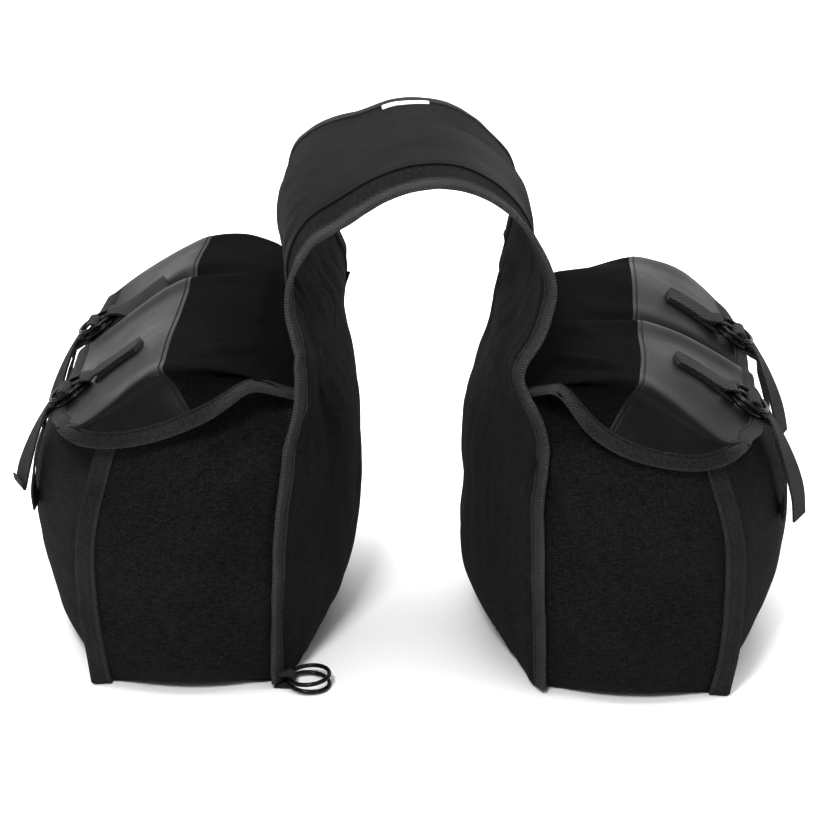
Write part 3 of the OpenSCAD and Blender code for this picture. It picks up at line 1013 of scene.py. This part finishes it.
def build_bag(side):
    body = f"bag_{side}"
    grids = bag_grids(side)
    for name, grid in grids.items():
        piece = sheet_piece(f"{name}_{side}", grid, CLOTH, CANVAS)
        dress(piece, body=body, replaces=[f"{name}_{side}"])
    build_base(side, grids)
    for end_name, world_end in ENDS.items():
        gusset = grids[f"gusset_{end_name}"]
        top = int(np.argmax(gusset[:, -1, 2] > FLANGE_TOP * CM))
        strip = flange_grid(side, world_end, gusset[:top])
        rounded = strip_solid(f"front_binding_{end_name}_{side}", strip, TAPE_CLOTH)
        dress(rounded[0], body=body, replaces=[f"front_binding_{end_name}_{side}"])
        dress(stitches(f"front_stitches_{end_name}_{side}", rounded[1], THREAD),
              body=body)
    build_hem(side, grids)


# Half thickness of the tape along a front seam, from the seam outward
STRIP_SHAPE = np.array([1.7, 2.2, 1.5, 2.1, 2.2, 2.2, 2.3, 2.1, 1.1]) * MM


def strip_solid(name, grid, material):
    """A strip of folded tape with rounded edges, and its two stitch lines."""
    n = grid_facing(grid)
    half = STRIP_SHAPE[None, :, None]
    top, under = grid + n * half, grid - n * half
    rings = np.concatenate([top, under[:, ::-1]], axis=1)
    uv = lengths(grid)
    uv = np.concatenate([uv, uv[:, ::-1]], axis=1)[..., ::-1] + [0, TAPE / 2]
    lines = [(grid[:, 2] + s * n[:, 2] * (STRIP_SHAPE[2] + 0.15 * MM), s * n[:, 2])
             for s in (1, -1)]
    return tube_piece(name, rings, material, uv, 60), lines


BASE_INSET = 8 * MM
BASE_Z = 1.2 * MM
# Width of the throw's lower hem that the base is sewn to, as shares from its near edge
BASE_SPAN = (0.045, 0.955)


def build_base(side, grids):
    """The bag's bottom, drawn together from the rounded edges of its walls."""
    s = SIDES[side]
    front = grids["front_panel"][0]
    back_w = np.linspace(*BASE_SPAN, front.shape[0])
    back = throw(np.full_like(back_w, s * (LAST - 0.03)), back_w) + [s * BASE_INSET, 0, 0]
    if s < 0:
        front = front[::-1]
    share = np.linspace(0, 1, 60)[:, None, None]
    grid = back[None] * (1 - share) + front[None] * share
    grid[..., 2] = BASE_Z
    piece = sheet_piece(f"base_panel_{side}", grid, CLOTH, CANVAS)
    dress(piece, body=f"bag_{side}", replaces=[f"base_panel_{side}"])


HEM_LOW = 19.8
HEM_DEPTH = 2.6 * MM


def build_hem(side, grids):
    """The folded top edge of the front panel, on its inner side."""
    s = SIDES[side]
    grid = grids["front_panel"]
    low = int(np.argmax(grid[:, grid.shape[1] // 2, 2] > HEM_LOW * CM))
    n = facing_towards(grid, [-s, 0, 0])
    hem = grid[low:] + n[low:] * HEM_DEPTH
    piece = sheet_piece(f"mouth_hem_{side}", hem, CLOTH, CANVAS)
    dress(piece, body=f"bag_{side}", replaces=[f"mouth_hem_{side}"])
    line = [(grid[low + 2] - n[low + 2] * 1.0 * MM, -n[low + 2])]
    dress(stitches(f"mouth_stitches_{side}", line, THREAD), body=f"bag_{side}")


# ---------------------------------------------------------------- flap


# Where the flap's seam runs across the throw, half its length, and half the throw's there
FLAP_SEAM_T = 8.35
FLAP_SEAM_HALF = 15.6
THROW_HALF = 17.4


def flap_net(side):
    """The flap's net of points for the right-hand side, row by row from the throw outward."""
    rows = []
    for k, (px, pz) in enumerate(FLAP_LINE[side]):
        row = []
        for end in (-1, 1):
            crest, edge = np.array(CREST[side][end][k]), np.array(FLAP_SIDE[side][end][k])
            wing = [edge + (crest - edge) * f for f in (0, 0.38, 0.78)]
            for f, point in zip(HOLLOW_SHARES, wing):
                point[1] -= end * HOLLOW_DEPTH[k] * f
            across = []
            for y in FLAP_ACROSS:
                f = smooth(y, 10.0, abs(crest[1]) + 1.0)
                across.append([px + (crest[0] - px) * f, end * y, pz + (crest[2] - pz) * f])
            row.append(wing + [crest] + across)
        rows.append(row[0] + row[1][-2::-1])
    rows = np.array(rows, float)
    # The first row lies on the throw, where the flap is sewn to it
    start = rows[0].copy()
    w = np.clip((start[:, 1] + THROW_HALF) / (2 * THROW_HALF), 0.06, 0.94)
    s = SIDES[side]
    sewn = throw(np.full(len(w), s * FLAP_SEAM_T), w if s > 0 else 1 - w) * turn_of(side) / CM
    start = sewn + [0.25, 0, 0]
    start[:3, 1], start[-3:, 1] = -FLAP_SEAM_HALF, FLAP_SEAM_HALF
    return np.concatenate([[start], rows])


def leather_row(c):
    """The row of the seam between canvas and leather, at a column counted from the middle."""
    away = np.abs(c - FLAP_COLUMNS / 2)
    bend = (LEATHER_ROW_AT_EDGE - LEATHER_ROW) * smooth(away, 3.6, 7.2)
    return ROWS_BEFORE + LEATHER_ROW + bend


def flap_folds(side):
    """The dip between the lobes and the flap's unevenness, in metres."""
    seed = SEED[side] + 40
    start, slant = LOBE_START[side]
    end = -SIDES[side]

    def amount(p):
        x, y = p[..., 0] / CM, p[..., 1] / CM
        cloth = 1 - smooth(x, 17, 20)
        across = (y - (start + slant * (x - 19.6))) * LOBE_SHARP[side]
        deep = smooth(x, 13, 19.5) * (1 - 0.75 * smooth(x, 27.5, 31))
        # The lobe nearer the front of its bag has the sharper shoulder
        lobes = -hump(across, 1.1, 1.3) + 0.45 * hump(across, -1.3, 1.6)
        lobes -= 0.35 * hump(across, 4.0, 3.4)
        soft = (0.06 + 0.05 * cloth) * noise(p, 0.05, seed)
        soft += (0.012 + 0.02 * cloth) * noise(p, 0.018, seed + 1)
        puff = 0.22 * hump(np.abs(y), 9.5, 4.5) * smooth(x, 14, 20) * (1 - smooth(x, 24, 29))
        creases = fold(p, (12.5, end * 10, 29), (18.5, end * 14.5, 29), 0.7, 0.22)
        creases -= fold(p, (12.3, end * 12, 28.5), (18.5, end * 16, 28.5), 0.8, 0.30)
        creases += fold(p, (12.3, end * 2, 28.5), (18.0, end * 8, 29), 0.9, 0.14)
        return (LOBE_DIP[side] * lobes * deep + soft + puff + creases) * CM

    return amount


# Where the flap bends as it opens, as x and z at the bag's end and at the flap's
FLAP_BEND = ((0.122, 0.288), (0.150, 0.292))
# The leather's upper face on each side, drawn for the right-hand bag
leather_top = {}


def build_flap(side):
    s = SIDES[side]
    surface = displaced(net_surface(flap_net(side) * CM), flap_folds(side))
    columns = np.linspace(0, FLAP_COLUMNS, 150 * FINE)[None, :]
    seam = leather_row(columns)
    turn = turn_of(side)
    (x0, z0), (x1, z1) = FLAP_BEND
    joint = (f"bag_{side}", f"flap_{side}", (s * x0, 0, z0), (s * x1, 0, z1))
    cloth = surface((seam + 0.12) * np.linspace(0, 1, 64 * FINE)[:, None], columns) * turn
    piece = sheet_piece(f"flap_canvas_{side}", cloth, CLOTH, CANVAS_FLAP_SHADED)
    dress(piece, blend=joint, replaces=[f"flap_canvas_{side}", f"flap_seam_{side}"])
    last = len(FLAP_LINE[side]) + ROWS_BEFORE - 1
    share = np.linspace(0, 1, 120 * FINE)[:, None] ** 1.15
    hide = surface(seam + (last - seam) * share, columns) * turn
    n = facing_towards(hide, [0, 0, 1])
    away = np.linalg.norm(hide - hide[:1], axis=-1)
    lift = (0.45 - 0.5 * hump(away, 0, 1.2 * MM) - 0.5 * hump(away, 3.6 * MM, 0.9 * MM)) * MM
    piece = sheet_piece(f"flap_leather_{side}", hide + n * lift[..., None], HIDE, LEATHER)
    leather_top[side] = tree_of((hide + n * 1.3 * MM) * turn)
    dress(piece, body=f"flap_{side}", replaces=[f"flap_leather_{side}"])
    build_flap_edge(side, surface, joint, last, turn)
    row = int(np.argmax(away[:, 60] > 4 * MM))
    line = [(hide[row] + n[row] * 1.15 * MM, n[row])]
    dress(stitches(f"leather_stitches_{side}", line, THREAD, pitch=3.2 * MM),
          body=f"flap_{side}")


def build_flap_edge(side, surface, joint, last, turn):
    """Tape round the flap's three free edges."""
    rows, columns = np.linspace(0, last, 200), np.linspace(0, FLAP_COLUMNS, 240)
    full = surface(rows[:, None], columns[None, :]) * turn
    path = np.concatenate([full[1:, 0], full[-1, 1:], full[-2:1:-1, -1]])
    path = evenly(path, 3.0 * MM, rounding=3)
    tape, lines = binding(f"flap_binding_{side}", path, tree_of(full), TAPE_CLOTH,
                          seed=SEED[side])
    dress(tape, blend=joint, replaces=[f"flap_binding_{side}"])
    dress(stitches(f"flap_stitches_{side}", lines, THREAD), blend=joint)


# ---------------------------------------------------------------- closures


# The flap's outer slope, and the foot of the closures' loops on it as x and z
SLOPE = math.radians(36)
LOOP = (27.4, 24.4)
# Height above the slope of the tab's turn round the wires, and the radius of the rings to the
# middle of their wire, in millimetres
HUB = 6.8
RING_RADIUS = 17.8
STRAP_Y = 8.2


def on_slope(along, out):
    """A point beside the flap's outer slope, in centimetres, from millimetres."""
    a, o = along / 10, out / 10
    return (LOOP[0] + a * math.cos(SLOPE) + o * math.sin(SLOPE),
            LOOP[1] - a * math.sin(SLOPE) + o * math.cos(SLOPE))


def bow(v):
    """How far a round ring's wire falls back at a distance from its middle, in millimetres."""
    return RING_RADIUS - math.sqrt(max(RING_RADIUS**2 - v * v, 0))


def ribbon(name, paths, y, side, thickness, material, laid=None):
    """Webbing through paths of x, y and z, one for each place across its width."""
    columns = []
    for path in paths:
        path = np.asarray(path, float)
        columns.append(curve(path)(np.linspace(0, len(path) - 1, 14 * len(path))) + [0, y, 0])
    grid = np.stack(columns, axis=1) * CM
    if laid:
        grid = laid(grid)
    return sheet_piece(name, grid * turn_of(side), thickness, material, smooth_angle=60)


# Places on the slope, in centimetres from the loop, where a tab starts to follow the leather
# and from where on it lies right on it
LAID_FROM, LAID_TO = -0.5, -1.5


def laid_on_leather(side):
    """A function that makes the part of a tab above the loop follow the leather under it."""
    along = np.array([math.cos(SLOPE), 0, -math.sin(SLOPE)])
    out = np.array([math.sin(SLOPE), 0, math.cos(SLOPE)])
    loop = np.array([LOOP[0], 0, LOOP[1]]) * CM

    def laid(grid):
        level = np.zeros(grid.shape[:2])
        for place in np.ndindex(level.shape):
            start = grid[place] + out * 5 * CM
            hit = leather_top[side].ray_cast(Vector(start), Vector(-out))[0]
            if hit is not None:
                level[place] = (np.array(hit) - loop) @ out
        level = running_mean(level, 2)
        share = 1 - smooth((grid - loop) @ along / CM, LAID_TO, LAID_FROM)
        return grid + out * (level * share)[..., None]

    return laid


# Places across a ribbon's width
ACROSS = np.linspace(-1, 1, 15)
# How far up the slope each tab reaches from its loop, and half its width, in millimetres
TAB_TOP = {"right": {-1: -57, 1: -55}, "left": {-1: -60, 1: -60}}
TAB_HALF = 13.0


def tab_path(share, top):
    """One thread of a ring tab: along the leather, round both wires and back on top."""
    v = share * TAB_HALF
    u = bow(v) * 0.75
    point = 5.0 * max(share, 0) ** 1.5 - 1.5 * share
    under = [(top + point, 1.3), (-40, 1.3), (-16, 1.4), (-5 + u * 0.5, 1.5)]
    turn = [(u + 0.2, 1.8), (u + 2.7, 3.4), (u + 3.4, HUB), (u + 2.7, 10.4), (u + 0.2, 12.0)]
    over = [(u - 4.0, 11.2), (u * 0.6 - 9.5, 7.4), (-15, 4.7), (-24, 3.9), (-44, 3.7),
            (top + point, 3.6)]
    path = [on_slope(a, o) for a, o in under + turn + over]
    widths = [1] * 3 + [0.88] * 8 + [1] * 4
    return [(x, v / 10 * w, z) for (x, z), w in zip(path, widths)]


def build_tab(side, end_name):
    s = SIDES[side]
    end = ENDS[end_name] * s
    paths = [tab_path(a * end, TAB_TOP[side][end]) for a in ACROSS]
    paths = [[(x, y * end, z) for x, y, z in path] for path in paths]
    piece = ribbon(f"ring_tab_{end_name}_{side}", paths, end * STRAP_Y, side, 2.0 * MM, WEBBING,
                   laid=laid_on_leather(side))
    dress(piece, body=f"flap_{side}", replaces=[f"ring_tab_{end_name}_{side}"])


# Half a strap's width, in millimetres
STRAP_HALF = 12.6
# Height of each strap's free end, and how many degrees its tail is turned
TAIL = {("right", -1): (13.0, 28), ("right", 1): (13.9, 24), ("left", 1): (15.6, 28),
        ("left", -1): (14.6, 24)}


def turned_edge(x, z, v, angle, lean):
    """A thread's place on webbing turned about its own run, by degrees towards one end."""
    a = math.radians(angle)
    return (x + v / 10 * math.sin(a) * lean, v / 10 * math.cos(a), z)


def strap_path(share, tail_z, twist, lean):
    """One thread of a strap: up from the bag, through both rings and down as a tail."""
    v = share * STRAP_HALF
    u = bow(v) * 0.6
    slope = [(50, 2.0), (42 - u * 0.3, 1.9), (35.6 - u, 1.9), (28 - u * 0.6, 2.8),
             (20.5, 5.5), (17.6, 10.0), (19.6, 13.6), (24.0, 14.2), (29.5 - u * 0.5, 11.2),
             (35.6 - u, 8.7), (42 - u * 0.3, 7.8)]
    up = [(32.8, 13.1, 0), (33.0, 14.8, 4), (32.8, 16.8, 8), (32.3, 18.8, 8), (31.7, 20.6, 4)]
    down = [(32.3, 20.4, 0.45), (33.1, 18.4, 0.8), (33.7, 16.6, 1.0), (34.1, 15.0, 1.0),
            (34.3, tail_z, 1.0)]
    places = [turned_edge(x, z, v, angle, lean) for x, z, angle in up]
    places += [(x, v / 10, z) for x, z in (on_slope(a, o) for a, o in slope)]
    places += [turned_edge(x, z, v, twist * much, lean) for x, z, much in down]
    return places


def build_strap(side, end_name):
    s = SIDES[side]
    end = ENDS[end_name] * s
    tail_z, twist = TAIL[side, end]
    paths = [strap_path(a, tail_z, twist, s) for a in ACROSS]
    piece = ribbon(f"strap_{end_name}_{side}", paths, end * STRAP_Y, side, 1.9 * MM, WEBBING)
    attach(piece, f"bag_{side}")
    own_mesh(piece)
    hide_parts(f"strap_{end_name}_{side}")


def build_closures(side):
    for end_name in ENDS:
        build_tab(side, end_name)
        build_strap(side, end_name)
        for level in ("lower", "upper"):
            repaint(f"{level}_ring_{end_name}_{side}", RING_BLACK)
    for level in ("lower", "upper"):
        repaint(f"{level}_lash_ring_{side}", RING_BLACK)


def repaint(node, material):
    """Gives a CAD node that stays visible a better material."""
    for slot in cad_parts[node].material_slots:
        slot.material = material


# The middle of the lash rings' wires, the radius of the loop round them and its half width
LASH_HUB = (10.0, 16.6, 0.69)
LASH_RADIUS = 0.55
LASH_HALF = 0.7


def build_lash(side):
    """The webbing loop that holds the pair of lash rings."""
    x, y, z = LASH_HUB
    hub = [(x + LASH_RADIUS * math.cos(a), z + LASH_RADIUS * math.sin(a))
           for a in np.linspace(0.5 * math.pi, 1.5 * math.pi, 7)]
    run = [(11.3, 1.3)] + hub + [(11.2, 0.2)]
    paths = [[(x, a * LASH_HALF, z) for x, z in run] for a in ACROSS]
    piece = ribbon(f"lash_tab_{side}", paths, y, side, 1.4 * MM, WEBBING)
    dress(piece, body=f"bag_{side}", replaces=[f"lash_tab_{side}"])


# The label's length along the bridge and its place across it, as shares
LABEL_ALONG = (-0.42, 0.74)
LABEL_LOW = (0.902, 0.926)
LABEL_HIGH = (0.938, 0.946)


def build_label():
    t = np.linspace(*LABEL_ALONG, 24)[:, None]
    w = np.linspace(np.linspace(*LABEL_LOW, 24), np.linspace(*LABEL_HIGH, 24), 9, axis=1)
    grid = throw(t, w)
    n = facing_towards(grid, [0, 0, 1])
    rise = np.linspace(1.3, 2.4, 9)[None, :, None] * MM
    piece = sheet_piece("blank_label", grid + n * rise, 0.8 * MM, LABEL)
    dress(piece, body="bridge", replaces=["blank_label"])


# Where each bag's bartack lies down its leg, and across the throw
BARTACK_ROW = {"left": 9.7, "right": 10.1}
BARTACK_W = (0.022, 0.034)


def build_bartacks(side):
    """Dense short stitches across the near binding, just under the flap."""
    t = SIDES[side] * BARTACK_ROW[side]
    grid = throw(np.linspace(t - 0.12, t + 0.12, 6)[:, None], np.linspace(*BARTACK_W, 6)[None, :])
    n = grid_facing(grid)
    lines = [(grid[k] - n[k] * 3.2 * MM, -n[k]) for k in range(1, 5)]
    lines += [(grid[k] + n[k] * 3.2 * MM, n[k]) for k in range(1, 5)]
    piece = stitches(f"bartack_{side}", lines, THREAD, pitch=1.6 * MM,
                     size=(1.1 * MM, 0.6 * MM, 0.6 * MM))
    dress(piece, body=f"bag_{side}")


THREAD_RADIUS = 0.2 * MM


def loose_thread(name, points, side, body=None, blend=None):
    """A hair-thin thread end through points in centimetres, drawn for the right-hand side."""
    path = curve(points)(np.linspace(0, len(points) - 1, 12 * len(points)))
    path = path * turn_of(side) * CM
    along = unit(np.gradient(path, axis=0))
    a = unit(np.cross(along, np.array([0.3, 0.2, 0.9])))
    b = np.cross(along, a)
    angles = np.linspace(0, 2 * math.pi, 6, endpoint=False)
    rings = np.stack([path + (a * math.cos(k) + b * math.sin(k)) * THREAD_RADIUS
                      for k in angles], 1)
    dress(tube_piece(name, rings, FLUFF), body=body, blend=blend)


def build_loose_threads():
    for k, (z, reach) in enumerate(((30.6, 0.7), (29.3, 0.5), (27.6, 0.6))):
        points = [(7.0, -16.6, z), (6.7, -16.7, z - 0.3), (6.5, -16.8, z - reach * 0.9),
                  (6.6 - 0.2 * k, -16.7, z - reach * 1.6)]
        loose_thread(f"loose_thread_leg_{k}", points, "left", blend=throw_blend("left"))
    points = [(34.6, 9.0, 17.0), (35.1, 9.1, 17.2), (35.3, 9.0, 16.8)]
    loose_thread("loose_thread_strap", points, "right", body="bag_right")


build_throw()
for side in SIDES:
    build_bartacks(side)
    build_bag(side)
    build_flap(side)
    build_closures(side)
    build_lash(side)
build_label()
build_loose_threads()


# ---------------------------------------------------------------- studio


FLOOR_HALF = 1 * MM
# The floor and the backdrop it rises into, as y and z in metres
BACKDROP = [(-3.0, 0.0), (1.5, 0.0), (2.3, 0.06), (2.9, 0.45), (3.15, 1.1), (3.2, 2.5)]
BACKDROP_HALF = 6.0


def build_studio():
    yz = curve(BACKDROP)(np.linspace(0, len(BACKDROP) - 1, 60))
    x = np.linspace(-BACKDROP_HALF, BACKDROP_HALF, 9)
    grid = np.stack(np.broadcast_arrays(x[None, :], yz[:, :1], np.maximum(yz[:, 1:], 0)), -1)
    floor = sheet_piece("floor", grid - [0, 0, FLOOR_HALF], 2 * FLOOR_HALF,
                        floor_material("Floor"))


def add_light(name, location, target, size, power):
    data = bpy.data.lights.new(name, "AREA")
    data.shape = "RECTANGLE"
    data.size, data.size_y = size
    data.energy = power
    lamp = bpy.data.objects.new(name, data)
    lamp.location = location
    lamp.rotation_euler = (Vector(target) - Vector(location)).to_track_quat("-Z", "Y").to_euler()
    bpy.context.scene.collection.objects.link(lamp)


def build_lights():
    add_light("top", (0, 1.5, 2.9), (0, 1.5, 0), (5.0, 4.2), 225)
    add_light("key", (-0.4, -1.7, 1.9), (0, 0, 0.25), (0.5, 0.5), 45)
    add_light("fill", (1.8, -1.6, 1.5), (0, 0, 0.2), (1.6, 1.6), 12)
    world = bpy.data.worlds.new("Studio")
    world.use_nodes = True
    world.node_tree.nodes["Background"].inputs["Color"].default_value = (1, 1, 1, 1)
    world.node_tree.nodes["Background"].inputs["Strength"].default_value = 0.45
    bpy.context.scene.world = world


# The camera's lens in millimetres, its place, and how far it is turned aside and down
LENS = 112.4
CAMERA_PLACE = (0.084, -2.14, 1.085)
CAMERA_TURN = (math.radians(-2.2), math.radians(22.7))


def add_camera():
    data = bpy.data.cameras.new("Camera")
    data.lens = LENS
    camera = bpy.data.objects.new("Camera", data)
    camera.location = CAMERA_PLACE
    yaw, pitch = CAMERA_TURN
    ahead = Vector((math.sin(yaw) * math.cos(pitch), math.cos(yaw) * math.cos(pitch),
                    -math.sin(pitch)))
    camera.rotation_euler = ahead.to_track_quat("-Z", "Y").to_euler()
    bpy.context.scene.collection.objects.link(camera)
    bpy.context.scene.camera = camera


build_studio()
build_lights()
add_camera()
bpy.context.scene.view_settings.view_transform = "Standard"
bpy.context.scene.view_settings.gamma = 0.75
